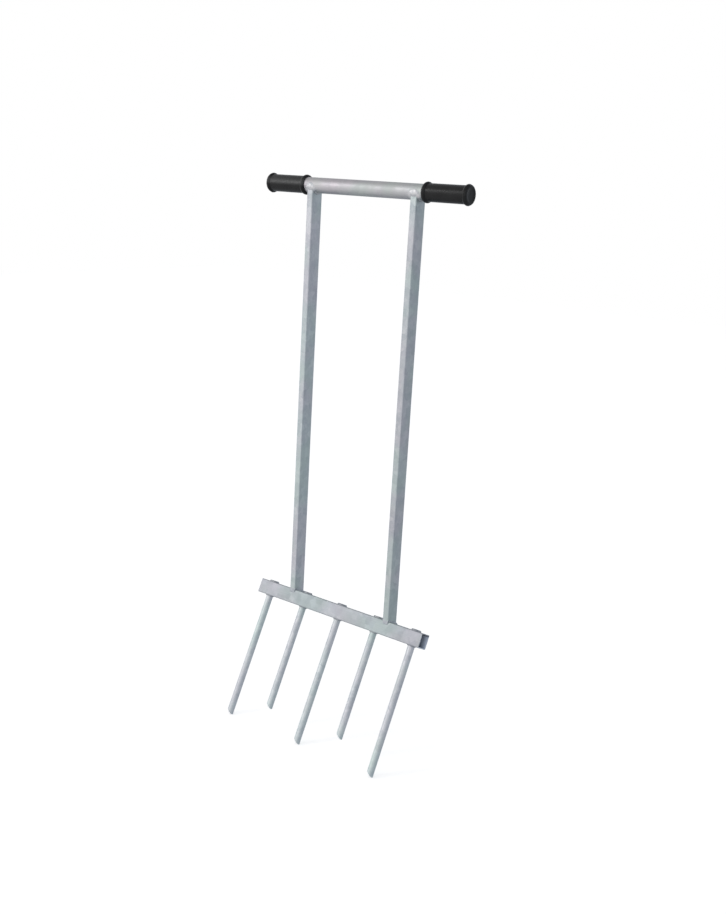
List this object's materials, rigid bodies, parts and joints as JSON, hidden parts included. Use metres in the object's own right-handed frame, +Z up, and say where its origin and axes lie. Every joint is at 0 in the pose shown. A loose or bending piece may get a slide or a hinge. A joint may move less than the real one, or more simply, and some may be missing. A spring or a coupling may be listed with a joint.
{
  "type": "core aerator",
  "caption": "Step-on hand lawn corer: galvanised T-handle frame, black end grips and a tilted crossbar of bevel-cut hollow tines, long and short in turn.",
  "frame": {"origin": "middle of the handlebar's axis, by which the tool is held or hung up", "axes": "+Z up along the uprights, -Y the front towards which the tines lean, +X the user's right from behind the tool"},
  "size_m": [0.396, 0.1273, 0.9453],
  "materials": {
    "galvanised_tube": "hot-dip galvanised, satin with a soft spangle",
    "galvanised_bar": "hot-dip galvanised, matt grey with faint mottling",
    "galvanised_tine": "hot-dip galvanised, satin",
    "galvanised_weld": "zinc-coated weld bead, slightly rough",
    "grip_rubber": "matt black moulded rubber"
  },
  "bodies": {
    "root": {"handlebar_tube": "galvanised_tube", "left_grip": "grip_rubber", "right_grip": "grip_rubber", "left_upright": "galvanised_tube", "right_upright": "galvanised_tube", "crossbar": "galvanised_bar", "tine_1": "galvanised_tine", "tine_2": "galvanised_tine", "tine_3": "galvanised_tine", "tine_4": "galvanised_tine", "tine_5": "galvanised_tine", "left_handlebar_weld": "galvanised_weld", "right_handlebar_weld": "galvanised_weld", "left_foot_weld": "galvanised_weld", "right_foot_weld": "galvanised_weld", "tine_1_top_weld": "galvanised_weld", "tine_1_bottom_weld": "galvanised_weld", "tine_2_top_weld": "galvanised_weld", "tine_2_bottom_weld": "galvanised_weld", "tine_3_top_weld": "galvanised_weld", "tine_3_bottom_weld": "galvanised_weld", "tine_4_top_weld": "galvanised_weld", "tine_4_bottom_weld": "galvanised_weld", "tine_5_top_weld": "galvanised_weld", "tine_5_bottom_weld": "galvanised_weld"}
  },
  "joints": []
}
